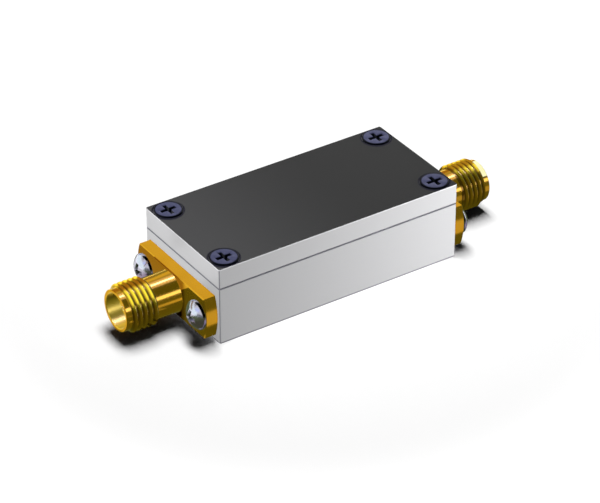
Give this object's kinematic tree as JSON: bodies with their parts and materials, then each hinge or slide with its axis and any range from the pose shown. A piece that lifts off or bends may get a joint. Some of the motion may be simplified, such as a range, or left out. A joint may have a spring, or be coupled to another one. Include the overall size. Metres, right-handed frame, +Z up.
{
  "type": "coaxial low-pass filter",
  "caption": "Milled metal filter housing with a thick screwed lid and a gold-plated threaded coaxial jack on a flange at each end.",
  "frame": {"origin": "centre of the housing's base, on the surface it rests on", "axes": "+X along the housing through both jacks, +Y to the rear long side, +Z up through the lid"},
  "size_m": [0.054, 0.0168, 0.0108],
  "materials": {
    "housing": "satin machined",
    "lid": "satin, its top finished dark grey",
    "cover_screws": "dark blue-grey finish",
    "jack_gold": "polished gold plating",
    "contact_gold": "polished gold plating",
    "insulator": "waxy white",
    "flange_screws": "bright plated",
    "board": "solder mask",
    "board_screws": "plain",
    "coil_wire": "enamelled copper",
    "chip": "fired ceramic with tinned ends"
  },
  "bodies": {
    "root": {"housing_body": "housing", "cover_lid": "lid", "cover_screw_left_front": "cover_screws", "cover_screw_left_rear": "cover_screws", "cover_screw_right_front": "cover_screws", "cover_screw_right_rear": "cover_screws", "left_jack_body": "jack_gold", "left_jack_insulator": "insulator", "left_jack_contact": "contact_gold", "left_flange_screw_front": "flange_screws", "left_flange_screw_rear": "flange_screws", "right_jack_body": "jack_gold", "right_jack_insulator": "insulator", "right_jack_contact": "contact_gold", "right_flange_screw_front": "flange_screws", "right_flange_screw_rear": "flange_screws", "circuit_board": "board", "board_screw_left_front": "board_screws", "board_screw_left_rear": "board_screws", "board_screw_right_front": "board_screws", "board_screw_right_rear": "board_screws", "coil_1": "coil_wire", "coil_2": "coil_wire", "coil_3": "coil_wire", "capacitor_1": "chip", "capacitor_2": "chip", "capacitor_3": "chip", "capacitor_4": "chip"}
  },
  "joints": []
}
